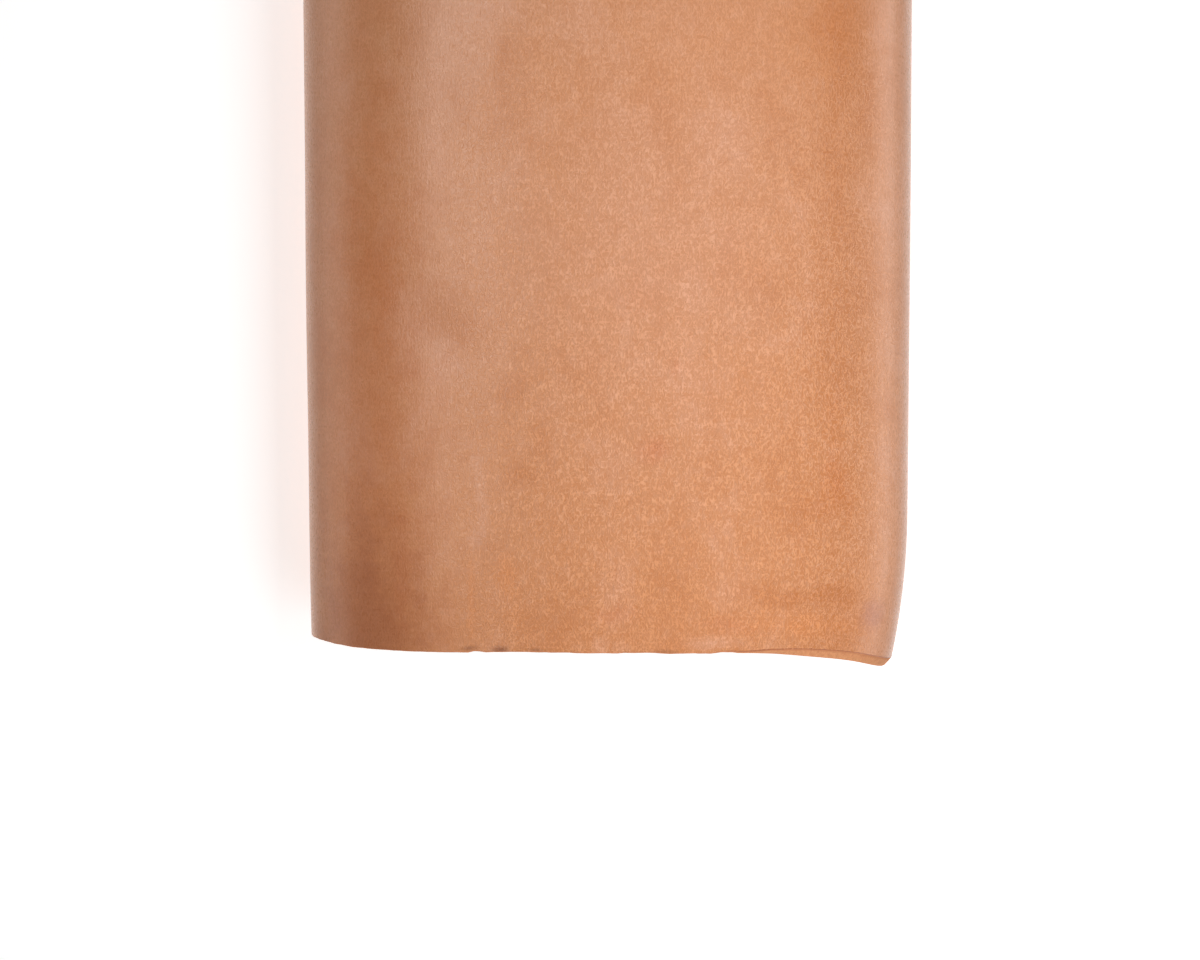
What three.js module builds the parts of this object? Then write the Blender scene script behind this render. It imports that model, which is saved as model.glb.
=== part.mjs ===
import * as THREE from 'three';

// A side of vegetable-tanned leather, rolled up loosely and lying down on its round.
// Millimetres, +Z up. The roll lies along Y: the backbone cut is at its -Y end and the
// belly edge at its +Y end. The grain faces out. The origin is on the floor, under the
// middle of the roll.

// The leather as it was cut
const THICKNESS = 3;
const SIDE_LENGTH = 2080; // rump to neck, wound into the roll
const SIDE_WIDTH = 960; // backbone to belly, along the roll

// The roll as it lies, squashed by its own weight
const HALF_WIDTH = 155.5;
const CROWN_HEIGHT = 120;
const WAIST_HEIGHT = 52; // where it is widest
const DEPTH_IF_ROUND = 58.5; // below the waist, were the floor not there
const OUTER_END_DEG = -62; // where the outer end lies, about the middle of the waist

// Each quarter of a turn is a superellipse: power 2 is an ellipse, more is squarer
const QUARTER_POWER = { upperRight: 3.2, upperLeft: 2.4, lowerLeft: 2.6, lowerRight: 2.7 };
const ELLIPSE_POWER = 2;
const POWER_FADE = 0.22; // how fast the inner turns lose that squareness

// How far a side draws in with each turn, and how much faster it does so in the core
const DRAW_IN = {
  right: { perTurn: 9, curl: 8 },
  left: { perTurn: 10, curl: 11 },
  crown: { perTurn: 12, curl: 4 },
};
const CURL_FROM_TURN = 1.2;

// Under the waist each turn rests on the one below it
const LAYER_GAP = 1.6;
const REST_BLEND = 4; // eases a layer down onto the one below
const END_STEP = { from: 34, to: 6 }; // where the layers step down past the outer end

// Both long edges wander. Rows are humps along the wound length: where, how far out, how wide
const BACKBONE_HUMPS = [
  { at: 140, out: 8, spread: 95 },
  { at: 150, out: 5.2, spread: 48 },
  { at: 300, out: 0.8, spread: 75 },
  { at: 445, out: 1.3, spread: 50 },
  { at: 540, out: -1.6, spread: 65 },
  { at: 700, out: -5.5, spread: 110 },
  { at: 990, out: -3, spread: 90 },
  { at: 1290, out: -8, spread: 130 },
  { at: 1640, out: -4, spread: 120 },
  { at: 1960, out: -11, spread: 150 },
];
const BELLY_HUMPS = [
  { at: 330, out: 34, spread: 150 },
  { at: 640, out: -16, spread: 110 },
  { at: 1080, out: 18, spread: 260 },
  { at: 1480, out: -20, spread: 110 },
  { at: 1790, out: 40, spread: 150 },
];
const HUMP_POWER = 4;

// The knife was held at a slant over the right shoulder, which cut the grain side back
const SLANT = { at: 215, out: 4.3, spread: 80 };

// Both sides of the roll are pinched in near the backbone cut
const PINCH = {
  right: { depth: 8.5, reach: 78 },
  left: { depth: 1.7, reach: 190 },
};

// The crown is a little higher and lower along the roll
const CROWN_WAVE = { height: 0.022, length: 1250, phase: 0.5 };

// How finely the turns and the width are divided
const TRACE_DEG = 0.5;
const MAX_TURN_DEG = 10;
const MAX_STEP = 42;
const MAX_SAG = 0.24;
const ARC_SAG = 1 / 8; // an arc's rise over its chord, as a share of its length times its turn
const WIDTH_STEPS = 13;
const WIDTH_CROWDING = 1.7; // crowds the steps towards the backbone cut

const FULL_TURN = 2 * Math.PI;

function humps(rows, along) {
  return rows.reduce(
    (sum, row) => sum + row.out * Math.exp(-(((along - row.at) / row.spread) ** HUMP_POWER)),
    0,
  );
}

function drawIn(side, turns) {
  const past = Math.max(0, turns - CURL_FROM_TURN);
  return DRAW_IN[side].perTurn * turns + DRAW_IN[side].curl * past * past;
}

function softMax(a, b, blend) {
  const near = Math.max(blend - Math.abs(a - b), 0) / blend;
  return Math.max(a, b) + (near * near * blend) / 4;
}

// Middle of the leather's thickness at an angle about the waist; the angle grows inwards
function onSpiral(angle, outerEndX) {
  const turns = angle / FULL_TURN;
  const across = Math.cos(angle);
  const up = Math.sin(angle);
  const isRight = across >= 0;
  const isUpper = up >= 0;
  const quarter = (isUpper ? 'upper' : 'lower') + (isRight ? 'Right' : 'Left');
  const fade = Math.exp(-POWER_FADE * Math.max(0, turns));
  const power = ELLIPSE_POWER + (QUARTER_POWER[quarter] - ELLIPSE_POWER) * fade;
  const wide = HALF_WIDTH - THICKNESS / 2 - drawIn(isRight ? 'right' : 'left', turns);
  const crown = CROWN_HEIGHT - WAIST_HEIGHT - THICKNESS / 2 - drawIn('crown', turns);
  const tall = isUpper ? crown : DEPTH_IF_ROUND;
  const reach = (Math.abs(across / wide) ** power + Math.abs(up / tall) ** power) ** (-1 / power);
  const x = reach * across;
  const z = WAIST_HEIGHT + reach * up;
  if (isUpper) return new THREE.Vector2(x, z);
  return new THREE.Vector2(x, softMax(z, restHeight(x, turns, outerEndX), REST_BLEND));
}

// Height of a layer's middle where it rests on the floor or on the layers below it
function restHeight(x, turns, outerEndX) {
  const layersBelow = Math.round(turns);
  const overEnd = THREE.MathUtils.smoothstep(x, outerEndX - END_STEP.from, outerEndX - END_STEP.to);
  const steps = layersBelow > 0 ? layersBelow - 1 + overEnd : 0;
  return THICKNESS / 2 + (THICKNESS + LAYER_GAP) * steps;
}

// The spiral from the outer end inwards, in short steps with their distance along it
function traceSpiral() {
  const step = THREE.MathUtils.degToRad(TRACE_DEG);
  let angle = THREE.MathUtils.degToRad(OUTER_END_DEG);
  const outerEndX = onSpiral(angle, Infinity).x;
  let along = 0;
  let point = onSpiral(angle, outerEndX);
  const trace = [{ point, along }];
  while (along < SIDE_LENGTH) {
    angle += step;
    const next = onSpiral(angle, outerEndX);
    along += next.distanceTo(point);
    point = next;
    trace.push({ point, along });
  }
  return trace;
}

// Every traced point gets the direction of the sheet there
function withTangents(trace) {
  return trace.map((here, i) => {
    const before = trace[Math.max(0, i - 1)].point;
    const after = trace[Math.min(trace.length - 1, i + 1)].point;
    return { ...here, tangent: after.clone().sub(before).normalize() };
  });
}

// Keeps as few of the traced points as hold the bends
function thinOut(trace) {
  const maxTurn = THREE.MathUtils.degToRad(MAX_TURN_DEG);
  const kept = [trace[0]];
  let turned = 0;
  for (let i = 1; i < trace.length - 1; i += 1) {
    turned += Math.abs(trace[i].tangent.angleTo(trace[i - 1].tangent));
    const run = trace[i].along - kept[kept.length - 1].along;
    const sag = run * turned * ARC_SAG;
    if (turned >= maxTurn || run >= MAX_STEP || sag >= MAX_SAG) {
      kept.push(trace[i]);
      turned = 0;
    }
  }
  kept.push(trace[trace.length - 1]);
  return kept;
}

// How far one side moves in, at a distance from the middle towards that side
function pinch(side, outwards, fromCut) {
  const near = Math.max(0, 1 - fromCut / side.reach);
  return side.depth * near * near * THREE.MathUtils.smoothstep(outwards, 0, HALF_WIDTH);
}

// The pinch near the backbone cut and the crown's wave, as a shift of a point of the round
function settle(x, y, z, fromCut) {
  const shift = pinch(PINCH.left, -x, fromCut) - pinch(PINCH.right, x, fromCut);
  const wave = Math.sin((FULL_TURN * y) / CROWN_WAVE.length + CROWN_WAVE.phase);
  return [x + shift, y, z * (1 + CROWN_WAVE.height * wave)];
}

// One side of the leather: side is +1 for the grain and -1 for the flesh
function sheetPoints(stations, side) {
  const points = [];
  for (const { point, along, tangent } of stations) {
    const x = point.x + (side * tangent.y * THICKNESS) / 2;
    const z = point.y - (side * tangent.x * THICKNESS) / 2;
    const backbone = -SIDE_WIDTH / 2 - humps(BACKBONE_HUMPS, along);
    const cut = backbone + (side > 0 ? humps([SLANT], along) : 0);
    const belly = SIDE_WIDTH / 2 + humps(BELLY_HUMPS, along);
    for (let j = 0; j <= WIDTH_STEPS; j += 1) {
      const y = THREE.MathUtils.lerp(cut, belly, (j / WIDTH_STEPS) ** WIDTH_CROWDING);
      points.push(...settle(x, y, z, y - backbone));
    }
  }
  return points;
}

// The closed sheet: grain, flesh, and the cut edge all round between them
function leatherSheet() {
  const stations = thinOut(withTangents(traceSpiral()));
  const positions = [...sheetPoints(stations, 1), ...sheetPoints(stations, -1)];
  const row = WIDTH_STEPS + 1;
  const flesh = stations.length * row;
  const last = (stations.length - 1) * row;
  const index = [];
  const quad = (a, b, c, d) => index.push(a, b, c, a, c, d);
  for (let i = 0; i < last; i += row) {
    for (let j = 0; j < WIDTH_STEPS; j += 1) {
      const a = i + j;
      quad(a, a + 1, a + 1 + row, a + row);
      quad(flesh + a, flesh + a + row, flesh + a + row + 1, flesh + a + 1);
    }
    const far = i + WIDTH_STEPS;
    quad(i, i + row, flesh + i + row, flesh + i);
    quad(far, flesh + far, flesh + far + row, far + row);
  }
  for (let j = 0; j < WIDTH_STEPS; j += 1) {
    quad(j, flesh + j, flesh + j + 1, j + 1);
    quad(last + j, last + j + 1, flesh + last + j + 1, flesh + last + j);
  }
  const geometry = new THREE.BufferGeometry();
  geometry.setAttribute('position', new THREE.Float32BufferAttribute(positions, 3));
  geometry.setIndex(index);
  geometry.computeVertexNormals();
  return geometry;
}

const geometry = leatherSheet();
geometry.computeBoundingBox();
const box = geometry.boundingBox;

const leather = new THREE.Mesh(
  geometry,
  new THREE.MeshStandardMaterial({ color: 0xd8996f, roughness: 0.55, metalness: 0 }),
);
leather.name = 'leather_side';
leather.position.set(-(box.min.x + box.max.x) / 2, -(box.min.y + box.max.y) / 2, -box.min.z);

const group = new THREE.Group();
group.add(leather);

export default group;
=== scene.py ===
import math
from collections import namedtuple

import bmesh
import bpy
import numpy as np
from mathutils import Euler, Matrix, Vector, noise


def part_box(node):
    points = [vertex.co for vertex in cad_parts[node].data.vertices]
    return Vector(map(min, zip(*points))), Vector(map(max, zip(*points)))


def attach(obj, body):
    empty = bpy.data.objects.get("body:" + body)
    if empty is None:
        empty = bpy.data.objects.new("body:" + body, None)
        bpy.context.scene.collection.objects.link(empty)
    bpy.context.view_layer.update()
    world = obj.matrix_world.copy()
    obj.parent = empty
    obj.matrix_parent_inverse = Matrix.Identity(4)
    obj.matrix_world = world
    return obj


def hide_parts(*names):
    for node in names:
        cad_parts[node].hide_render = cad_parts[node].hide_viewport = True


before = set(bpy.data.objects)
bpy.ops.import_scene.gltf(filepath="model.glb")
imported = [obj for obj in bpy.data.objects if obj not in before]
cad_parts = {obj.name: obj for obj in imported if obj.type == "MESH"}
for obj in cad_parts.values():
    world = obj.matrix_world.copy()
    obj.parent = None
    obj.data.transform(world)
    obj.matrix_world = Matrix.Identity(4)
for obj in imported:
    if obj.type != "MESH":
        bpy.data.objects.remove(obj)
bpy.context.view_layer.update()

bl_info = {
    "name": "Leather Side",
    "version": (1, 0, 0),
    "blender": (4, 5, 0),
    "location": "3D View > Sidebar > Leather",
    "description": "Makes a loosely rolled side of vegetable-tanned leather",
    "category": "Add Mesh",
}

# All sizes are in metres. "Along" runs with the wound length from the outer end inwards,
# and "from the cut" runs across the side, from the backbone cut to the belly edge.
NODE = "leather_side"
BODY = "root"
SHEET = "sheet"
TURN = 2 * math.pi
GRAIN, FLESH, CUT = range(3)

Hump = namedtuple("Hump", "at out spread")
Quarter = namedtuple("Quarter", "upper_right upper_left lower_left lower_right")
DrawIn = namedtuple("DrawIn", "per_turn curl")
Pinch = namedtuple("Pinch", "depth reach")
Fold = namedtuple("Fold", "x from_cut height wide long turn")
Nick = namedtuple("Nick", "x depth wide")
Ripple = namedtuple("Ripple", "share rate swing swing_rate cross_rate slant phase")
Fibre = namedtuple("Fibre", "share rate depth_rate slice")
Mark = namedtuple("Mark", "x from_cut wide long turn strength colour")
Scratch = namedtuple("Scratch", "x from_cut long turn strength")
Softbox = namedtuple("Softbox", "wide long place aim lights")

# The roll's section, the same as the solid's
QUARTER_POWER = Quarter(upper_right=3.2, upper_left=2.4, lower_left=2.6, lower_right=2.7)
ELLIPSE_POWER = 2.0
POWER_FADE = 0.22
DRAW_IN = {
    "right": DrawIn(0.009, 0.008),
    "left": DrawIn(0.010, 0.011),
    "crown": DrawIn(0.012, 0.004),
}
CURL_FROM_TURN = 1.2
DEPTH_IF_ROUND = 0.0585
OUTER_END = math.radians(-62)
LAYER_GAP = 0.0016
REST_BLEND = 0.004
END_STEP = (0.034, 0.006)

# Humps of the two long edges along the wound length
BACKBONE_HUMPS = [
    Hump(0.140, 0.0080, 0.095),
    Hump(0.150, 0.0052, 0.048),
    Hump(0.300, 0.0008, 0.075),
    Hump(0.445, 0.0013, 0.050),
    Hump(0.540, -0.0016, 0.065),
    Hump(0.700, -0.0055, 0.110),
    Hump(0.990, -0.0030, 0.090),
    Hump(1.290, -0.0080, 0.130),
    Hump(1.640, -0.0040, 0.120),
    Hump(1.960, -0.0110, 0.150),
]
BELLY_HUMPS = [
    Hump(0.330, 0.034, 0.150),
    Hump(0.640, -0.016, 0.110),
    Hump(1.080, 0.018, 0.260),
    Hump(1.480, -0.020, 0.110),
    Hump(1.790, 0.040, 0.150),
]
SLANT = Hump(0.195, 0.0043, 0.065)
HUMP_POWER = 4
PINCH_RIGHT = Pinch(depth=0.0085, reach=0.078)
PINCH_LEFT = Pinch(depth=0.0017, reach=0.190)
WAVE_HEIGHT, WAVE_LENGTH, WAVE_PHASE = 0.022, 1.25, 0.5

# How finely the sheet is meshed
TRACE_STEP = math.radians(0.2)
MOST_TURNS = 4
OUTER_TURN = 0.72
FINE_STEP, COARSE_STEP = 0.003, 0.0075
WIDTH_STEPS = 96
WIDTH_CROWDING = 1.45
RIM_DEPTHS = (0.07, 0.22, 0.42, 0.6, 0.78, 0.93)
RIM_ROUND = 0.0004
RIM_POWER = 4
SLANT_FADE = 40
END_TAPER = ((0.0, 0.55), (0.0004, 0.86), (0.0012, 1.0))
SHARP_EDGE = math.radians(38)
EDGE_SAMPLES = 800

# The cut fibres, small and large: how often a metre they change along the cut, and how often
# from the grain to the flesh. Each takes its own slice of the noise
RIM_FRAY = 0.00022
FIBRES = (Fibre(1.0, 900, 3.1, 0.5), Fibre(0.6, 260, 1.0, 7.5))

# Soft ridges and troughs of the outer turn, placed by where they lie on the roll; turn is in
# degrees, from the roll's length towards its left side
FOLDS = [
    Fold(-0.0715, 0.020, -0.0003, 0.013, 0.110, 0),
    Fold(-0.0715, 0.270, -0.0003, 0.013, 0.110, 0),
    Fold(-0.0875, 0.166, -0.0009, 0.015, 0.024, 40),
    Fold(-0.120, 0.050, -0.0008, 0.016, 0.080, 8),
    Fold(0.040, 0.120, -0.0005, 0.040, 0.090, 0),
    Fold(0.095, 0.260, 0.0005, 0.030, 0.120, 0),
    Fold(0.120, 0.015, -0.0007, 0.012, 0.030, 0),
]
# Chips out of the backbone cut
NICKS = [
    Nick(-0.0630, 0.0006, 0.0030),
    Nick(0.020, 0.0004, 0.010),
    Nick(0.064, 0.0005, 0.006),
]
# Low ripples over the top of the outer turn: one pattern runs along it, one from the cut
RIPPLE_HEIGHT = 0.00035
RIPPLES_ALONG = Ripple(0.6, 61, 1.3, 9, 17, 5, 0)
RIPPLES_ACROSS = Ripple(0.4, 38, 2, 22, 33, 0, 0.8)
# Where the folds and ripples fade in and out along the wound length
ON_TOP = ((0.13, 0.18), (0.54, 0.60))

# Colour marks, placed as the folds are; some are painted shade, as noted on their rows. Each names
# the colour it turns towards, and is gone at
# MARK_EDGE times its half width and half length, more or less by the wobble
MARK_EDGE = 1.35
MARK_WOBBLE = 1.2
MARKS = [
    Mark(-0.109, 0.276, 0.0101, 0.0101, 0, 0.38, "amber"),
    # The next two rows: a darker patch on the left bend, partly the leather's own colour, partly
    # painted shade of a shallow dip
    Mark(-0.110, 0.189, 0.0190, 0.0361, 20, 0.52, "amber"),
    Mark(-0.105, 0.174, 0.0069, 0.0145, 10, 0.20, "amber"),
    Mark(-0.105, 0.132, 0.0069, 0.0361, 0, 0.10, "amber"),
    # Painted shade: the next two rows darken the whole left bend, and most of all its lower part
    # near the cut
    Mark(-0.116, 0.000, 0.0420, 0.0900, 0, 0.60, "deep_tan"),
    Mark(-0.117, 0.105, 0.0420, 0.2300, 0, 0.30, "rust"),
    # Painted shade: a warm, darker patch that hides the sheen where the leather dips
    Mark(-0.0765, 0.163, 0.0240, 0.0240, 0, 0.42, "amber"),
    # Painted shade: darkens the lower left bend near the cut
    Mark(-0.118, 0.000, 0.0330, 0.0650, 0, 0.30, "stain"),
    # Painted shade: the next two rows darken the right bend, more at its far end
    Mark(0.125, 0.130, 0.0260, 0.3600, 0, 0.06, "deep_tan"),
    Mark(0.121, 0.330, 0.0240, 0.0900, 0, 0.30, "amber"),
    Mark(-0.100, 0.038, 0.0061, 0.0325, 0, 0.14, "rust"),
    # Painted shade: takes the sheen out of the same dip
    Mark(-0.072, 0.160, 0.0191, 0.0101, 0, 0.25, "amber"),
    Mark(-0.040, 0.297, 0.0160, 0.0130, 0, 0.20, "amber"),
    Mark(-0.035, 0.244, 0.0102, 0.0130, 0, 0.15, "amber"),
    Mark(0.014, 0.174, 0.0123, 0.0108, 0, 0.14, "ember"),
    Mark(0.078, 0.181, 0.0203, 0.0123, -30, 0.22, "amber"),
    Mark(0.112, 0.312, 0.0120, 0.0304, 0, 0.26, "ember"),
    Mark(0.114, 0.245, 0.0091, 0.0615, 0, 0.22, "amber"),
    Mark(0.108, 0.152, 0.0089, 0.0398, 0, 0.18, "amber"),
    Mark(0.115, 0.113, 0.0061, 0.0231, 0, 0.16, "ember"),
    Mark(0.115, 0.086, 0.0091, 0.0166, 0, 0.42, "ember"),
    Mark(0.103, 0.074, 0.0096, 0.0065, 0, 0.14, "ember"),
    Mark(-0.042, 0.127, 0.0087, 0.0108, 0, 0.30, "amber"),
    Mark(-0.030, 0.107, 0.0065, 0.0174, -8, 0.30, "amber"),
    Mark(-0.040, 0.088, 0.0116, 0.0080, 0, 0.52, "amber"),
    Mark(0.026, 0.101, 0.0095, 0.0075, 30, 0.44, "rust"),
    Mark(0.036, 0.142, 0.0029, 0.0065, 0, 0.25, "rust"),
    Mark(0.020, 0.185, 0.0850, 0.1100, 0, 0.28, "pale_tan"),
    Mark(-0.028, 0.256, 0.0145, 0.0094, 0, 0.12, "pale_tan"),
    Mark(0.009, 0.261, 0.0145, 0.0087, 0, 0.18, "pale_tan"),
    Mark(0.053, 0.255, 0.0159, 0.0123, 0, 0.24, "pale_tan"),
    Mark(0.043, 0.179, 0.0108, 0.0188, 0, 0.22, "pale_tan"),
    Mark(0.048, 0.125, 0.0159, 0.0246, 0, 0.18, "pale_tan"),
    Mark(0.058, 0.203, 0.0094, 0.0094, 0, 0.14, "pale_tan"),
    Mark(-0.056, 0.052, 0.0095, 0.0080, 0, 0.18, "deep_tan"),
    Mark(-0.047, 0.037, 0.0062, 0.0123, 0, 0.32, "orange"),
    Mark(-0.065, 0.026, 0.0022, 0.0275, 0, 0.35, "orange"),
    Mark(-0.044, 0.018, 0.0044, 0.0159, 0, 0.15, "orange"),
    Mark(0.004, 0.019, 0.0145, 0.0051, 0, 0.18, "rust"),
    Mark(0.063, 0.014, 0.0145, 0.0051, -10, 0.20, "rust"),
    Mark(0.078, 0.030, 0.0160, 0.0055, 0, 0.40, "amber"),
    Mark(0.095, 0.027, 0.0160, 0.0058, 5, 0.55, "amber"),
    Mark(0.116, 0.030, 0.0152, 0.0065, 0, 0.50, "amber"),
    Mark(0.102, 0.014, 0.0339, 0.0087, 0, 0.32, "orange"),
    Mark(0.1372, 0.024, 0.0085, 0.0100, 0, 0.50, "smudge"),
    Mark(0.058, 0.005, 0.0174, 0.0036, 0, 0.45, "pale_tan"),
    Mark(-0.066, 0.002, 0.0059, 0.0018, 0, 0.60, "stain"),
    Mark(-0.051, 0.001, 0.0058, 0.0022, 0, 0.70, "stain"),
    Mark(-0.033, 0.001, 0.0044, 0.0014, 0, 0.60, "stain"),
    Mark(0.032, 0.001, 0.0072, 0.0014, 0, 0.40, "stain"),
]
# Faint scratches, placed the same way
SCRATCH_EDGE = (0.0007, 0.0001)
SCRATCH_TAPER = 0.6
SCRATCH_WAVER = 0.004
SCRATCHES = [
    Scratch(0.070, 0.246, 0.052, -62, 0.5),
    Scratch(-0.060, 0.280, 0.020, -82, 0.3),
]

# How often each pattern changes: a metre along, a metre from the cut, and from grain to flesh
CLOUDS = (34, 24, 0)
STREAKS = (620, 60, 0)
RIDGES = (720, 380, 0)
FINE_GRAIN = (1250, 620, 0)
CREASES = (760, 120, 0)
RAGGED_LINE = (420, 0, 0)
NAP = (520, 240, 0)
NAP_FIBRES = (1500, 400, 0)
CUT_FIBRES = (1400, 1400, 2.2)
CUT_TUFTS = (330, 330, 1.4)

# The grain's winding ridges: what pushes them about, how wide their crests are, and how much
# painted shade darkens their hollows and painted highlight lightens their crests, in each of red,
# green and blue
RIDGE_WARP = (260.0, 0.0016)
CREST_EDGE = (0.11, 0.0)
HOLLOW_SHADE_TINT = (0.94, 0.90, 0.84)
CREST_HIGHLIGHT_TINT = (1.17, 1.25, 1.36)

# What pushes the flesh side's nap and fibres about
NAP_WARP = (90.0, 0.006)
NAP_FIBRE_WARP = (160.0, 0.004)

# Where the grain stands out. Each pair is from where it is gone to where it is full
CROWN_STARTS, CROWN_ENDS = (0.17, 0.24), (0.43, 0.375)
CROWN_FADES = (0.42, 0.10)
CREASES_START, CREASES_END = (0.19, 0.215), (0.475, 0.45)
INNER_STARTS = (OUTER_TURN - 0.1, OUTER_TURN)
INNER_SHARE = 0.6

# The dark line along the cut: how deep it reaches, and where along the cut it is strong
CUT_LINE_EDGE = (0.0010, 0.0003)
CUT_LINE_ENDS = (0.285, 0.262)
CUT_LINE_RAGGED = 0.0012

# The darker grain layer of the raw cut, as shares of the thickness
GRAIN_LAYER = (0.24, 0.05)
GRAIN_LAYER_RAGGED = 0.25

# Heights of the relief that the materials add
RIDGE_HEIGHT, CREST_HEIGHT = 0.00012, 0.00014
FINE_HEIGHT, CREASE_HEIGHT = 0.00004, 0.00005
NAP_HEIGHT, NAP_FIBRE_HEIGHT = 0.0004, 0.00012
CUT_FIBRE_HEIGHT, CUT_TUFT_HEIGHT = 0.0002, 0.00015
FLOOR_HEIGHT = 0.0001

# Roughness of each surface, and how far it varies
GRAIN_ROUGHNESS, GRAIN_SPREAD = 0.28, 0.06
NAP_ROUGHNESS, NAP_SPREAD = 0.86, 0.08
CUT_ROUGHNESS, CUT_SPREAD = 0.85, 0.1
FLOOR_ROUGHNESS, FLOOR_SPREAD = 0.7, 0.05

# The camera looks down on the roll near its cut end, tilted a little towards that end
CAMERA_LENS = 0.090
CAMERA_SENSOR = 0.036
CAMERA_RANGE = 1.465
CAMERA_LEAN = math.radians(4.3)
CAMERA_AIM_X = -0.0035
CAMERA_AIM_FROM_CUT = 0.0852

# The softboxes, placed and aimed from the point that the camera looks at. Each lights either
# the leather's colour or its gloss
SOFTBOXES = {
    "key": Softbox(0.25, 0.9, (0.106, -0.05, 0.31), (0.106, -0.05, -0.12), "colour"),
    "fill": Softbox(0.4, 1.6, (-1.2, 0.1, 0.3), (0, 0.1, 0), "colour"),
    "sheen": Softbox(0.4, 1.2, (-0.66, 0.42, 1.5), (0, 0.42, 0), "gloss"),
    "left_rim": Softbox(0.7, 2.0, (-1.0, 0.1, 0.0), (0, 0.1, 0), "gloss"),
    "right_rim": Softbox(0.7, 2.0, (1.0, 0.1, 0.0), (0, 0.1, 0), "gloss"),
}
FLOOR_SIZE = 14
MM_PER_METRE = 1000


def tone(red, green, blue):
    """A colour given as 0 to 255 on a screen, in Blender's linear values."""
    shares = (red / 255, green / 255, blue / 255)
    return tuple(c / 12.92 if c <= 0.04045 else ((c + 0.055) / 1.055) ** 2.4 for c in shares)


def humps(rows, along):
    """How far the rows' humps reach out at each distance along the sheet."""
    return sum(row.out * np.exp(-(((along - row.at) / row.spread) ** HUMP_POWER)) for row in rows)


def draw_in(side, turns):
    """How far a side has drawn in after so many turns."""
    past = np.maximum(0, turns - CURL_FROM_TURN)
    return DRAW_IN[side].per_turn * turns + DRAW_IN[side].curl * past**2


def soft_max(a, b, blend):
    """The larger of two values, rounded off where they meet."""
    near = np.maximum(blend - np.abs(a - b), 0) / blend
    return np.maximum(a, b) + near**2 * blend / 4


def smooth_step(value, low, high):
    """0 up to low, 1 from high on, and smooth between."""
    t = np.clip((value - low) / (high - low), 0, 1)
    return t * t * (3 - 2 * t)


def spiral(sizes, angles, outer_end_x):
    """The middle of the leather's thickness at each angle about the waist."""
    turns = angles / TURN
    across, up = np.cos(angles), np.sin(angles)
    right, upper = across >= 0, up >= 0
    fade = np.exp(-POWER_FADE * np.maximum(0, turns))
    upper_power = np.where(right, QUARTER_POWER.upper_right, QUARTER_POWER.upper_left)
    lower_power = np.where(right, QUARTER_POWER.lower_right, QUARTER_POWER.lower_left)
    power = ELLIPSE_POWER + (np.where(upper, upper_power, lower_power) - ELLIPSE_POWER) * fade
    half = sizes.thickness / 2
    drawn = np.where(right, draw_in("right", turns), draw_in("left", turns))
    wide = sizes.half_width - half - drawn
    crown = sizes.crown_height - sizes.waist_height - half - draw_in("crown", turns)
    tall = np.where(upper, crown, DEPTH_IF_ROUND)
    reach = (np.abs(across / wide) ** power + np.abs(up / tall) ** power) ** (-1 / power)
    x, z = reach * across, sizes.waist_height + reach * up
    below = np.floor(turns + 0.5)
    over_end = smooth_step(x, outer_end_x - END_STEP[0], outer_end_x - END_STEP[1])
    rest = half + (sizes.thickness + LAYER_GAP) * np.where(below > 0, below - 1 + over_end, 0)
    return x, np.where(upper, z, soft_max(z, rest, REST_BLEND))


class Section:
    """The wound section: place and outward direction at any distance along the sheet."""

    def __init__(self, sizes):
        angles = OUTER_END + np.arange(0, MOST_TURNS * TURN, TRACE_STEP)
        outer_end_x = spiral(sizes, angles[:1], np.inf)[0][0]
        self.x, self.z = spiral(sizes, angles, outer_end_x)
        steps = np.hypot(np.diff(self.x), np.diff(self.z))
        self.along = np.concatenate([[0], np.cumsum(steps)])
        dx, dz = np.gradient(self.x), np.gradient(self.z)
        size = np.hypot(dx, dz)
        self.out_x, self.out_z = dz / size, -dx / size
        top = (angles > 0) & (angles < TURN / 2)
        self.top_x, self.top_along = self.x[top][::-1], self.along[top][::-1]

    def at(self, along):
        """x, z and the outward direction at each distance along the sheet."""
        lines = (self.x, self.z, self.out_x, self.out_z)
        return [np.interp(along, self.along, line) for line in lines]

    def along_at(self, x):
        """Where the upper half of the outer turn lies at x."""
        return float(np.interp(x, self.top_x, self.top_along))


def stations(length):
    """Distances along the sheet that get a row of points: fine on the outer turn."""
    start = np.array([step for step, _ in END_TAPER])
    outer = np.arange(start[-1] + FINE_STEP, OUTER_TURN, FINE_STEP)
    inner = np.arange(OUTER_TURN, length - COARSE_STEP, COARSE_STEP)
    return np.concatenate([start, outer, inner, length - start[::-1]])


def end_taper(along, length):
    """The share of the thickness at each distance, where the two short ends round off."""
    near = np.minimum(along, length - along)
    return np.interp(near, [step for step, _ in END_TAPER], [share for _, share in END_TAPER])


def ring():
    """The way round the sheet across its width: share of the width, depth in the leather."""
    shares = [(j / WIDTH_STEPS) ** WIDTH_CROWDING for j in range(WIDTH_STEPS + 1)]
    grain = [(share, 0.0) for share in shares]
    belly = [(1.0, depth) for depth in RIM_DEPTHS]
    flesh = [(share, 1.0) for share in reversed(shares)]
    backbone = [(0.0, depth) for depth in reversed(RIM_DEPTHS)]
    return grain + belly + flesh + backbone


def rippled(one_way, other_way, ripple):
    """A pattern of waves that run one way and wander, broken up by waves the other way."""
    wander = ripple.swing * np.sin(other_way * ripple.swing_rate)
    breaks = np.sin(other_way * ripple.cross_rate + one_way * ripple.slant + ripple.phase)
    return ripple.share * (np.sin(one_way * ripple.rate + wander) * breaks)


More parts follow.
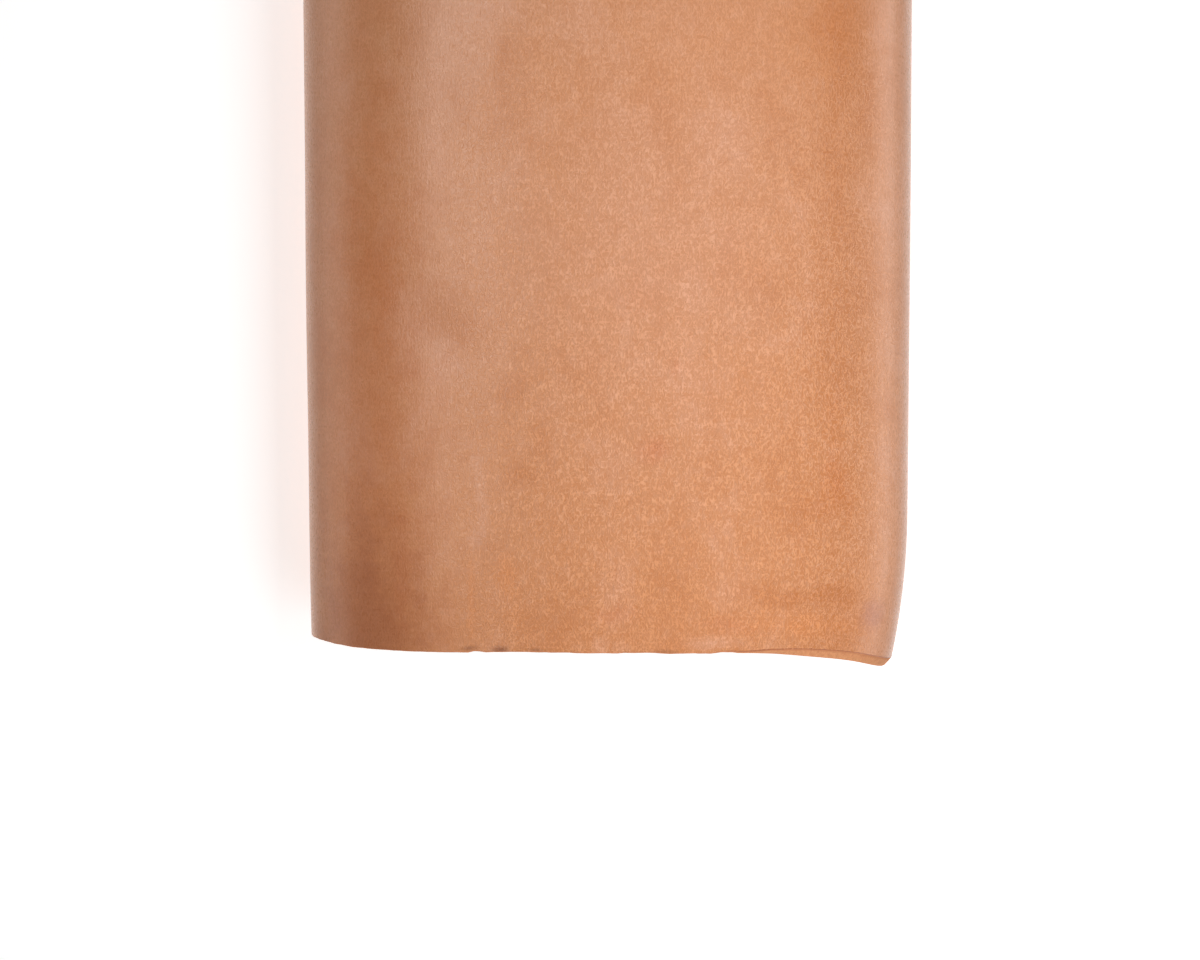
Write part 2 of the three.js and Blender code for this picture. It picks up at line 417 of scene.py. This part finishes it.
def relief(section, along, from_cut):
    """The folds and ripples of the outer turn, as a height along its outward direction."""
    height = np.zeros_like(from_cut)
    for fold in FOLDS:
        a = section.along_at(fold.x) - along
        b = from_cut - fold.from_cut
        turn = math.radians(fold.turn)
        across = (a * math.cos(turn) + b * math.sin(turn)) / fold.wide
        down = (b * math.cos(turn) - a * math.sin(turn)) / fold.long
        height += fold.height * np.exp(-(across**2) - down**2)
    ripples = rippled(along, from_cut, RIPPLES_ALONG) + rippled(from_cut, along, RIPPLES_ACROSS)
    on_top = smooth_step(along, *ON_TOP[0]) * (1 - smooth_step(along, *ON_TOP[1]))
    return (height + RIPPLE_HEIGHT * ripples) * on_top


def chips(section, along):
    """How far the backbone cut is chipped away at each distance along the sheet."""
    depth = np.zeros_like(along)
    for nick in NICKS:
        off = (along - section.along_at(nick.x)) / nick.wide
        depth += nick.depth * np.exp(-(off**HUMP_POWER))
    return np.where(along < OUTER_TURN, depth, 0)


def fray(along, depth):
    """The fibres of a cut edge, as small steps in and out."""
    total = np.zeros_like(along)
    for size in FIBRES:
        places = [(a * size.rate, depth * size.depth_rate, size.slice) for a in along]
        total += size.share * np.array([noise.noise(place) for place in places])
    return total


def pinch(sizes, side, outwards, from_cut):
    """How far one side moves in, at a distance from the middle towards that side."""
    near = np.maximum(0, 1 - from_cut / side.reach)
    return side.depth * near**2 * smooth_step(outwards, 0, sizes.half_width)


def settle(sizes, x, y, z, from_cut):
    """The pinch near the backbone cut and the crown's wave, as a shift of a point."""
    shift = pinch(sizes, PINCH_LEFT, -x, from_cut) - pinch(sizes, PINCH_RIGHT, x, from_cut)
    wave = np.sin(TURN * y / WAVE_LENGTH + WAVE_PHASE)
    return x + shift, z * (1 + WAVE_HEIGHT * wave)


def sheet_points(sizes, section):
    """Every point of the sheet, and the same point on the flat leather, station by station."""
    along = stations(sizes.side_length)
    x0, z0, out_x, out_z = section.at(along)
    half = sizes.thickness / 2 * end_taper(along, sizes.side_length)
    cut = -sizes.side_width / 2 - humps(BACKBONE_HUMPS, along) + chips(section, along)
    belly = sizes.side_width / 2 + humps(BELLY_HUMPS, along)
    slant = humps([SLANT], along)
    points, flat = [], []
    for share, depth in ring():
        across = (belly - cut) * share
        y = cut + across + slant * (1 - depth) * (1 - share) ** SLANT_FADE
        if share in (0.0, 1.0):
            inset = RIM_ROUND * abs(2 * depth - 1) ** RIM_POWER
            if 0 < depth < 1:
                inset = inset - RIM_FRAY * fray(along, depth)
            y = y + inset * (1 if share == 0 else -1)
        from_cut = y - cut
        out = half * (1 - 2 * depth) + relief(section, along, from_cut)
        x, z = settle(sizes, x0 + out_x * out, y, z0 + out_z * out, from_cut)
        points.append(np.stack([x, y, z], axis=1))
        flat.append(np.stack([along, across, np.full_like(along, depth)], axis=1))
    return np.stack(points, axis=1), np.stack(flat, axis=1)


def sheet_faces(rows):
    """The faces of the closed sheet, and the material of each: grain, flesh or raw cut."""
    depths = [depth for _, depth in ring()]
    size = len(depths)
    belly = WIDTH_STEPS + len(RIM_DEPTHS) + 1
    pairs = zip(depths, depths[1:] + depths[:1])
    kinds = [{(0.0, 0.0): GRAIN, (1.0, 1.0): FLESH}.get(pair, CUT) for pair in pairs]
    faces, materials = [], []
    for i in range(rows - 1):
        for k in range(size):
            a, b = i * size + k, i * size + (k + 1) % size
            faces.append((a, b, b + size, a + size))
            materials.append(kinds[k])
    for first, flip in ((0, True), ((rows - 1) * size, False)):
        for j in range(WIDTH_STEPS):
            low, high = belly + WIDTH_STEPS - j - 1, belly + WIDTH_STEPS - j
            face = [first + k for k in (j, j + 1, low, high)]
            faces.append(face[::-1] if flip else face)
            materials.append(CUT)
        ends = [
            range(WIDTH_STEPS, belly + 1),
            [*range(belly + WIDTH_STEPS, size), 0],
        ]
        for end in ends:
            face = [first + k for k in end]
            faces.append(face[::-1] if flip else face)
            materials.append(CUT)
    return faces, materials


def edge_samples(sizes):
    """Even steps along the whole side, for measuring its two long edges."""
    return np.linspace(0, sizes.side_length, EDGE_SAMPLES)


def flat_area(sizes):
    """The area of the side before it was rolled."""
    along = edge_samples(sizes)
    width = sizes.side_width + humps(BACKBONE_HUMPS, along) + humps(BELLY_HUMPS, along)
    return float(width.mean() * sizes.side_length)


def furthest(rows, sizes):
    """How far a long edge reaches out where it reaches furthest."""
    return float(humps(rows, edge_samples(sizes)).max())


def flat_size(sizes):
    """The smallest rectangle that the side was cut from: across the hide, along the hide."""
    across = sizes.side_width + furthest(BACKBONE_HUMPS, sizes) + furthest(BELLY_HUMPS, sizes)
    return across, sizes.side_length


def leather_roll(sizes, colours):
    """The rolled side as one closed mesh, in the place of its solid."""
    section = Section(sizes)
    points, flat = sheet_points(sizes, section)
    faces, materials = sheet_faces(len(points))
    points, flat = points.reshape(-1, 3), flat.reshape(-1, 3)
    low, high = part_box(NODE)
    middle = (points.min(0) + points.max(0)) / 2
    place = np.array([(low.x + high.x) / 2, (low.y + high.y) / 2, 0])
    points += place - np.array([*middle[:2], 0])
    points[:, 2] += low.z - points[:, 2].min()
    mesh = bpy.data.meshes.new("leather_roll")
    mesh.from_pydata(points.tolist(), [], faces)
    mesh.polygons.foreach_set("material_index", materials)
    mesh.attributes.new(SHEET, "FLOAT_VECTOR", "POINT").data.foreach_set("vector", flat.ravel())
    work = bmesh.new()
    work.from_mesh(mesh)
    bmesh.ops.recalc_face_normals(work, faces=work.faces)
    work.to_mesh(mesh)
    work.free()
    mesh.shade_smooth()
    mesh.set_sharp_from_angle(angle=SHARP_EDGE)
    for material in (tan_grain(colours, section), napped_flesh(colours), raw_cut(colours)):
        mesh.materials.append(material)
    roll = bpy.data.objects.new("leather_roll", mesh)
    bpy.context.scene.collection.objects.link(roll)
    return roll


class Value:
    """A node's number output. Sums of values add Math nodes to their material."""

    def __init__(self, shader, socket):
        self.shader, self.socket = shader, socket

    def math(self, operation, *terms):
        settings = {"operation": operation}
        made = self.shader.node("ShaderNodeMath", settings, dict(enumerate(terms)))
        return Value(self.shader, made.outputs[0])

    def __add__(self, other):
        return self.math("ADD", self, other)

    def __radd__(self, other):
        return self.math("ADD", other, self)

    def __sub__(self, other):
        return self.math("SUBTRACT", self, other)

    def __rsub__(self, other):
        return self.math("SUBTRACT", other, self)

    def __mul__(self, other):
        return self.math("MULTIPLY", self, other)

    def __rmul__(self, other):
        return self.math("MULTIPLY", other, self)

    def __abs__(self):
        return self.math("ABSOLUTE", self)

    def most(self, other):
        return self.math("MAXIMUM", self, other)

    def step(self, low, high, top=1.0):
        """0 up to low, top from high on, and smooth between; low may be the larger one."""
        flip = low > high
        settings = {"interpolation_type": "SMOOTHSTEP"}
        ends = {1: min(low, high), 2: max(low, high), 3: top * flip, 4: top * (not flip)}
        made = self.shader.node("ShaderNodeMapRange", settings, {0: self, **ends})
        return Value(self.shader, made.outputs[0])


class Shader:
    """One material and its nodes."""

    def __init__(self, name):
        self.material = bpy.data.materials.new(name)
        self.material.use_nodes = True
        self.tree = self.material.node_tree
        self.tree.nodes.clear()

    def node(self, kind, settings, inputs):
        """A node of a kind, with its settings, then its sockets' values or links."""
        made = self.tree.nodes.new(kind)
        for name, value in settings.items():
            setattr(made, name, value)
        for key, value in inputs.items():
            source = value.socket if isinstance(value, Value) else value
            if isinstance(source, bpy.types.NodeSocket):
                self.tree.links.new(source, made.inputs[key])
            else:
                made.inputs[key].default_value = source
        return made

    def sheet(self):
        """The point on the flat leather, and its parts: along, from the cut, depth."""
        place = self.node("ShaderNodeAttribute", {"attribute_name": SHEET}, {}).outputs["Vector"]
        parts = self.node("ShaderNodeSeparateXYZ", {}, {0: place})
        return place, *(Value(self, socket) for socket in parts.outputs)

    def vector_math(self, operation, *terms):
        settings = {"operation": operation}
        return self.node("ShaderNodeVectorMath", settings, dict(enumerate(terms)))

    def stretched(self, place, scale, shift=(0, 0, 0)):
        """The place with each direction scaled, for grain that runs one way."""
        return self.vector_math("MULTIPLY_ADD", place, scale, shift).outputs[0]

    def warped(self, place, scale, amount):
        """The place pushed about by a noise, so that patterns come out uneven."""
        inputs = {"Vector": place, "Scale": scale, "Detail": 1.0}
        push = self.node("ShaderNodeTexNoise", {"noise_dimensions": "2D"}, inputs).outputs["Color"]
        centred = self.vector_math("SUBTRACT", push, (0.5, 0.5, 0.5)).outputs[0]
        amounts = (amount, amount, amount)
        return self.vector_math("MULTIPLY_ADD", centred, amounts, place).outputs[0]

    def noise(self, place, scale=1.0, detail=2.0, roughness=0.5, distortion=0.0, dimensions="2D"):
        """A cloudy pattern between about 0.2 and 0.8."""
        settings = {"noise_dimensions": dimensions}
        inputs = {
            "Vector": place,
            "Scale": scale,
            "Detail": detail,
            "Roughness": roughness,
            "Distortion": distortion,
        }
        return Value(self, self.node("ShaderNodeTexNoise", settings, inputs).outputs["Fac"])

    def length(self, vector):
        return Value(self, self.vector_math("LENGTH", vector).outputs["Value"])

    def mix(self, factor, first, second, blend="MIX"):
        """The first colour, turning into the second as the factor rises."""
        settings = {"data_type": "RGBA", "blend_type": blend}
        inputs = {0: factor, 6: opaque(first), 7: opaque(second)}
        return self.node("ShaderNodeMix", settings, inputs).outputs[2]

    def layered(self, colour, layers):
        """The colour turned towards each layer's colour in turn, by its mask and strength."""
        for mask, strength, towards in layers:
            colour = self.mix(mask * strength, colour, towards)
        return colour

    def surface(self, colour, roughness, height, constants):
        """The finished surface: its colour, roughness and relief in metres."""
        relief_inputs = {"Strength": 1.0, "Distance": 1.0, "Height": height}
        normal = self.node("ShaderNodeBump", {}, relief_inputs).outputs[0]
        inputs = {"Base Color": colour, "Roughness": roughness, "Normal": normal, **constants}
        skin = self.node("ShaderNodeBsdfPrincipled", {}, inputs)
        self.node("ShaderNodeOutputMaterial", {}, {"Surface": skin.outputs[0]})
        return self.material


def opaque(colour):
    """A colour with its alpha, or a link left as it is."""
    return colour if isinstance(colour, bpy.types.NodeSocket) else (*tuple(colour)[:3], 1.0)


def mark_mask(shader, section, place, wobble, mark):
    """A soft-edged patch on the outer turn, 0 outside and its strength in its middle."""
    inputs = {
        "Vector": place,
        "Location": (section.along_at(mark.x), mark.from_cut, 0),
        "Rotation": (0, 0, -math.radians(mark.turn)),
        "Scale": (mark.wide, mark.long, 1),
    }
    inside = shader.node("ShaderNodeMapping", {"vector_type": "TEXTURE"}, inputs).outputs[0]
    return (shader.length(inside) + wobble).step(MARK_EDGE, 0.0, mark.strength)


def scratch_mask(section, along, from_cut, waver, scratch):
    """A thin faint line across the grain."""
    angle = math.radians(scratch.turn)
    a = section.along_at(scratch.x) - along
    b = from_cut - scratch.from_cut
    off_line = a * math.cos(angle) + b * math.sin(angle) + waver * SCRATCH_WAVER
    on_line = b * math.cos(angle) - a * math.sin(angle)
    ends = abs(on_line).step(scratch.long, scratch.long * SCRATCH_TAPER)
    return abs(off_line).step(*SCRATCH_EDGE) * ends


def tan_grain(colours, section):
    """The grain side: mottled tan with winding ridges, fine creases, a dark cut line, and painted
    shade and highlight.
    """
    s = Shader("tan_grain")
    place, along, from_cut, _ = s.sheet()

    broad = s.noise(place, 11.0, distortion=0.5)
    cloud = s.noise(s.stretched(place, CLOUDS), detail=3.0, roughness=0.55, distortion=0.4)
    blotch = s.noise(place, 130.0, roughness=0.6)
    streak = s.noise(s.stretched(place, STREAKS), roughness=0.65)
    wobble = (s.noise(place, 70.0, detail=4.0, roughness=0.65) - 0.5) * MARK_WOBBLE

    clouds = [
        (broad.step(0.38, 0.66), 0.4, colours.warm_tan),
        (from_cut.step(0.20, 0.03), 0.6, colours.warm_tan),
        (from_cut.step(0.055, 0.015), 0.22, colours.amber),
        (cloud.step(0.48, 0.78), 0.34, colours.amber),
        (cloud.step(0.46, 0.22), 0.34, colours.pale_tan),
        (blotch.step(0.48, 0.75), 0.18, colours.amber),
        (blotch.step(0.48, 0.25), 0.16, colours.pale_tan),
        (streak.step(0.45, 0.85), 0.12, colours.deep_tan),
    ]
    colour = s.layered(colours.tan, clouds)
    # Colour marks, some of them painted shade
    for mark in MARKS:
        mask = mark_mask(s, section, place, wobble, mark)
        colour = s.mix(mask, colour, getattr(colours, mark.colour))

    # The winding ridges are strongest on the crown and fade out over the smooth left bend
    crown = along.step(*CROWN_STARTS) * along.step(*CROWN_ENDS) * from_cut.step(*CROWN_FADES)
    ridged = 0.5 + 0.5 * crown.most(along.step(*INNER_STARTS) * INNER_SHARE)
    ridge = s.noise(s.stretched(s.warped(place, *RIDGE_WARP), RIDGES), detail=1.0)
    crest = abs(ridge - 0.5).step(*CREST_EDGE)
    fine = s.noise(s.stretched(place, FINE_GRAIN), roughness=0.6)
    crease = s.noise(s.stretched(place, CREASES), roughness=0.6)
    scratches = [
        scratch_mask(section, along, from_cut, wobble, row) * row.strength for row in SCRATCHES
    ]
    # Painted shade in the ridges' hollows and painted highlight on their crests
    colour = s.mix(ridged, colour, s.mix(crest, HOLLOW_SHADE_TINT, CREST_HIGHLIGHT_TINT), "MULTIPLY")
    specks = [
        (fine.step(0.48, 0.26), 0.18, colours.deep_tan),
        (fine.step(0.54, 0.78), 0.18, colours.pale_tan),
        (sum(scratches[1:], scratches[0]), 0.35, colours.deep_tan),
    ]
    colour = s.layered(colour, specks)

    ragged = (s.noise(s.stretched(place, RAGGED_LINE), roughness=0.7) - 0.5) * CUT_LINE_RAGGED
    strong = 0.08 + 0.82 * along.step(*CUT_LINE_ENDS)
    cut_line = (from_cut - ragged).step(*CUT_LINE_EDGE) * strong
    colour = s.mix(cut_line, colour, colours.cut_line)

    ridges = (0.12 + 0.88 * crown) * (RIDGE_HEIGHT * ridge + CREST_HEIGHT * crest)
    creased = 0.2 + 0.8 * along.step(*CREASES_START) * along.step(*CREASES_END)
    height = ridges + creased * (FINE_HEIGHT * fine + CREASE_HEIGHT * crease)
    uneven = GRAIN_SPREAD * (cloud - 0.5)
    roughness = GRAIN_ROUGHNESS + uneven + GRAIN_SPREAD * (ridge - 0.5)
    return s.surface(colour, roughness, height, {"Specular IOR Level": 0.5, "IOR": 1.45})


def napped_flesh(colours):
    """The flesh side: paler, matt, with short lying fibres and loose tufts."""
    s = Shader("napped_flesh")
    place, *_ = s.sheet()
    cloud = s.noise(place, 14.0, detail=4.0, roughness=0.6, distortion=0.5)
    lying = s.stretched(s.warped(place, *NAP_WARP), NAP)
    nap = s.noise(lying, detail=5.0, roughness=0.75)
    loose = s.stretched(s.warped(place, *NAP_FIBRE_WARP), NAP_FIBRES)
    fibre = s.noise(loose, detail=3.0, roughness=0.7)
    colour = s.mix(cloud.step(0.35, 0.7), colours.flesh, colours.flesh_shade)
    tufts = [
        (nap.step(0.35, 0.75), 0.5, colours.flesh_shade),
        (fibre.step(0.62, 0.85), 0.35, colours.pale_tan),
    ]
    colour = s.layered(colour, tufts)
    height = nap * NAP_HEIGHT + fibre * NAP_FIBRE_HEIGHT
    roughness = NAP_ROUGHNESS + NAP_SPREAD * (nap - 0.5)
    constants = {"Sheen Weight": 0.25, "Sheen Roughness": 0.5, "Specular IOR Level": 0.2}
    return s.surface(colour, roughness, height, constants)


def raw_cut(colours):
    """The raw cut: pale fibrous core under a thin darker grain layer."""
    s = Shader("raw_cut")
    place, _, _, depth = s.sheet()
    cut_fibres, tufts = s.stretched(place, CUT_FIBRES), s.stretched(place, CUT_TUFTS)
    fibre = s.noise(cut_fibres, detail=4.0, roughness=0.75, dimensions="3D")
    tuft = s.noise(tufts, detail=3.0, roughness=0.6, dimensions="3D")
    grain_line = (depth + (tuft - 0.5) * GRAIN_LAYER_RAGGED).step(*GRAIN_LAYER)
    layers = [
        (tuft.step(0.5, 0.8), 0.5, colours.deep_tan),
        (grain_line, 0.35, colours.cut_line),
    ]
    core = s.mix(fibre.step(0.35, 0.72), colours.core, colours.core_shade)
    colour = s.layered(core, layers)
    height = fibre * CUT_FIBRE_HEIGHT + tuft * CUT_TUFT_HEIGHT
    roughness = CUT_ROUGHNESS + CUT_SPREAD * (fibre - 0.5)
    return s.surface(colour, roughness, height, {"Specular IOR Level": 0.2})


def pale_floor(colour, glow):
    """A plain pale floor, lit a little from below like a light table."""
    s = Shader("pale_floor")
    place = s.node("ShaderNodeTexCoord", {}, {}).outputs["Object"]
    cloud = s.noise(place, 0.8)
    shade = s.layered(colour, [(cloud.step(0.3, 0.7), 0.02, (0.8, 0.8, 0.8))])
    constants = {
        "Specular IOR Level": 0.0,
        "Emission Color": (1, 1, 1, 1),
        "Emission Strength": glow,
    }
    s.material.cycles.emission_sampling = "NONE"
    roughness = FLOOR_ROUGHNESS + FLOOR_SPREAD * cloud
    return s.surface(shade, roughness, cloud * FLOOR_HEIGHT, constants)


class RollSizes(bpy.types.PropertyGroup):
    thickness: bpy.props.FloatProperty(
        name="Thickness",
        description="How thick the leather is",
        default=0.003,
        unit="LENGTH",
    )
    side_length: bpy.props.FloatProperty(
        name="Side length",
        description="Rump to neck, wound into the roll",
        default=2.08,
        unit="LENGTH",
    )
    side_width: bpy.props.FloatProperty(
        name="Side width",
        description="Backbone to belly, along the roll",
        default=0.96,
        unit="LENGTH",
    )
    half_width: bpy.props.FloatProperty(
        name="Half width",
        description="Half the width of the roll as it lies",
        default=0.1555,
        unit="LENGTH",
    )
    crown_height: bpy.props.FloatProperty(
        name="Crown height",
        description="Floor to the top of the roll",
        default=0.12,
        unit="LENGTH",
    )
    waist_height: bpy.props.FloatProperty(
        name="Waist height",
        description="Height where the roll is widest",
        default=0.052,
        unit="LENGTH",
    )


def colour_property(name, description, red, green, blue):
    """A colour that the user can change, given as it looks on a screen."""
    default = tone(red, green, blue)
    return bpy.props.FloatVectorProperty(
        name=name, description=description, default=default, subtype="COLOR", min=0, max=1, size=3
    )


class LeatherColours(bpy.types.PropertyGroup):
    tan: colour_property("Tan", "Most of the grain side", 217, 149, 105)
    warm_tan: colour_property("Warm tan", "The more orange parts of the grain side", 218, 146, 96)
    # Also painted shade over the lower left bend and over the right bend
    deep_tan: colour_property("Deep tan", "Darker streaks, specks and marks", 186, 114, 73)
    # Also painted shade where the sheen breaks and at the right bend's far end, and in part on the
    # left bend
    amber: colour_property("Amber", "Warm brown marks and clouds", 200, 122, 68)
    pale_tan: colour_property("Pale tan", "Paler clouds, specks and marks", 228, 168, 136)
    ember: colour_property("Ember", "Deep orange marks", 206, 118, 58)
    # Also painted shade down the whole left bend
    rust: colour_property("Rust", "Red-brown marks", 206, 112, 64)
    orange: colour_property("Orange", "Bright orange marks near the cut", 232, 146, 84)
    smudge: colour_property("Smudge", "The grey-brown mark at the right corner", 178, 114, 92)
    # Dark spots along the cut, and also the painted shade over the lower left bend
    stain: colour_property("Stain", "Dark marks along the cut", 132, 74, 46)
    cut_line: colour_property("Cut line", "The thin dark line along the cut", 168, 92, 58)
    flesh: colour_property("Flesh", "The napped side", 214, 172, 138)
    flesh_shade: colour_property("Flesh shade", "Hollows of the napped side", 188, 142, 108)
    core: colour_property("Core", "The raw cut", 234, 166, 118)
    core_shade: colour_property("Core shade", "Hollows between the cut fibres", 212, 136, 92)


class StudioSettings(bpy.types.PropertyGroup):
    floor: colour_property("Floor", "The floor's colour", 246, 246, 246)
    floor_glow: bpy.props.FloatProperty(
        name="Floor glow",
        description="Light that comes up through the floor",
        default=0.62,
        min=0,
        max=2,
    )
    key_power: bpy.props.FloatProperty(
        name="Key power",
        description="Long softbox close over the right side",
        default=1.85,
        unit="POWER",
    )
    fill_power: bpy.props.FloatProperty(
        name="Fill power",
        description="Low softbox on the left",
        default=1.2,
        unit="POWER",
    )
    sheen_power: bpy.props.FloatProperty(
        name="Sheen power",
        description="Softbox up on the left, seen only in the gloss",
        default=9.0,
        unit="POWER",
    )
    left_rim_power: bpy.props.FloatProperty(
        name="Left rim power",
        description="Softbox low on the left, seen only in the gloss",
        default=7.0,
        unit="POWER",
    )
    right_rim_power: bpy.props.FloatProperty(
        name="Right rim power",
        description="Softbox low on the right, seen only in the gloss",
        default=16.0,
        unit="POWER",
    )
    room: bpy.props.FloatProperty(
        name="Room light",
        description="Even white light from all round",
        default=0.2,
        min=0,
        max=2,
    )


class LEATHER_OT_roll(bpy.types.Operator):
    """Make the rolled side of leather"""

    bl_idname = "leather.roll"
    bl_label = "Rolled Side"

    def execute(self, context):
        sizes = context.scene.leather_sizes
        roll = leather_roll(sizes, context.scene.leather_colours)
        flat, area = flat_size(sizes), flat_area(sizes)
        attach(roll, BODY)
        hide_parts(NODE)
        return {"FINISHED"}


def softbox(name, power, box, origin):
    """A soft oblong light, turned to what it lights, its long way along the roll."""
    light = bpy.data.lights.new(name, "AREA")
    light.shape = "RECTANGLE"
    light.size, light.size_y, light.energy = box.wide, box.long, power
    lamp = bpy.data.objects.new(name, light)
    lamp.location = origin + Vector(box.place)
    back = (Vector(box.place) - Vector(box.aim)).normalized()
    side = Vector((0, 1, 0)).cross(back).normalized()
    lamp.rotation_euler = Matrix((side, back.cross(side), back)).transposed().to_euler()
    lamp.visible_camera = False
    lamp.visible_diffuse = box.lights == "colour"
    lamp.visible_glossy = box.lights == "gloss"
    bpy.context.scene.collection.objects.link(lamp)


class LEATHER_OT_studio(bpy.types.Operator):
    """Make the floor, the lights and the camera"""

    bl_idname = "leather.studio"
    bl_label = "Studio"

    def execute(self, context):
        scene, settings = context.scene, context.scene.leather_studio
        low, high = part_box(NODE)
        cut_y = low.y + furthest(BACKBONE_HUMPS, scene.leather_sizes)
        bpy.ops.mesh.primitive_plane_add(size=FLOOR_SIZE, location=(0, 0, low.z))
        floor = context.object
        floor.name = "floor"
        floor.data.materials.append(pale_floor(settings.floor, settings.floor_glow))

        aim = Vector((CAMERA_AIM_X, cut_y + CAMERA_AIM_FROM_CUT, high.z))
        lens = bpy.data.cameras.new("camera")
        lens.lens = CAMERA_LENS * MM_PER_METRE
        lens.sensor_width = CAMERA_SENSOR * MM_PER_METRE
        camera = bpy.data.objects.new("camera", lens)
        turn = Euler((-CAMERA_LEAN, 0, 0))
        camera.rotation_euler = turn
        camera.location = aim - turn.to_matrix() @ Vector((0, 0, -CAMERA_RANGE))
        scene.collection.objects.link(camera)
        scene.camera = camera

        for name, box in SOFTBOXES.items():
            softbox(name, getattr(settings, name + "_power"), box, aim)
        scene.world = bpy.data.worlds.new("room")
        scene.world.use_nodes = True
        background = scene.world.node_tree.nodes["Background"]
        background.inputs["Color"].default_value = (1, 1, 1, 1)
        background.inputs["Strength"].default_value = settings.room
        scene.view_settings.view_transform = "Standard"
        return {"FINISHED"}


class LEATHER_PT_panel(bpy.types.Panel):
    bl_idname = "LEATHER_PT_panel"
    bl_label = "Leather Side"
    bl_space_type = "VIEW_3D"
    bl_region_type = "UI"
    bl_category = "Leather"

    def draw(self, context):
        for group in ("leather_sizes", "leather_colours", "leather_studio"):
            settings = getattr(context.scene, group)
            box = self.layout.box()
            for name in settings.bl_rna.properties.keys():
                if name not in ("rna_type", "name"):
                    box.prop(settings, name)
        for operator in (LEATHER_OT_roll, LEATHER_OT_studio):
            self.layout.operator(operator.bl_idname)


CLASSES = (
    RollSizes,
    LeatherColours,
    StudioSettings,
    LEATHER_OT_roll,
    LEATHER_OT_studio,
    LEATHER_PT_panel,
)


def register():
    for kind in CLASSES:
        bpy.utils.register_class(kind)
    scene = bpy.types.Scene
    scene.leather_sizes = bpy.props.PointerProperty(type=RollSizes)
    scene.leather_colours = bpy.props.PointerProperty(type=LeatherColours)
    scene.leather_studio = bpy.props.PointerProperty(type=StudioSettings)


def unregister():
    for name in ("leather_sizes", "leather_colours", "leather_studio"):
        delattr(bpy.types.Scene, name)
    for kind in reversed(CLASSES):
        bpy.utils.unregister_class(kind)


def main():
    register()
    bpy.ops.leather.studio()
    bpy.ops.leather.roll()


if __name__ == "__main__":
    main()
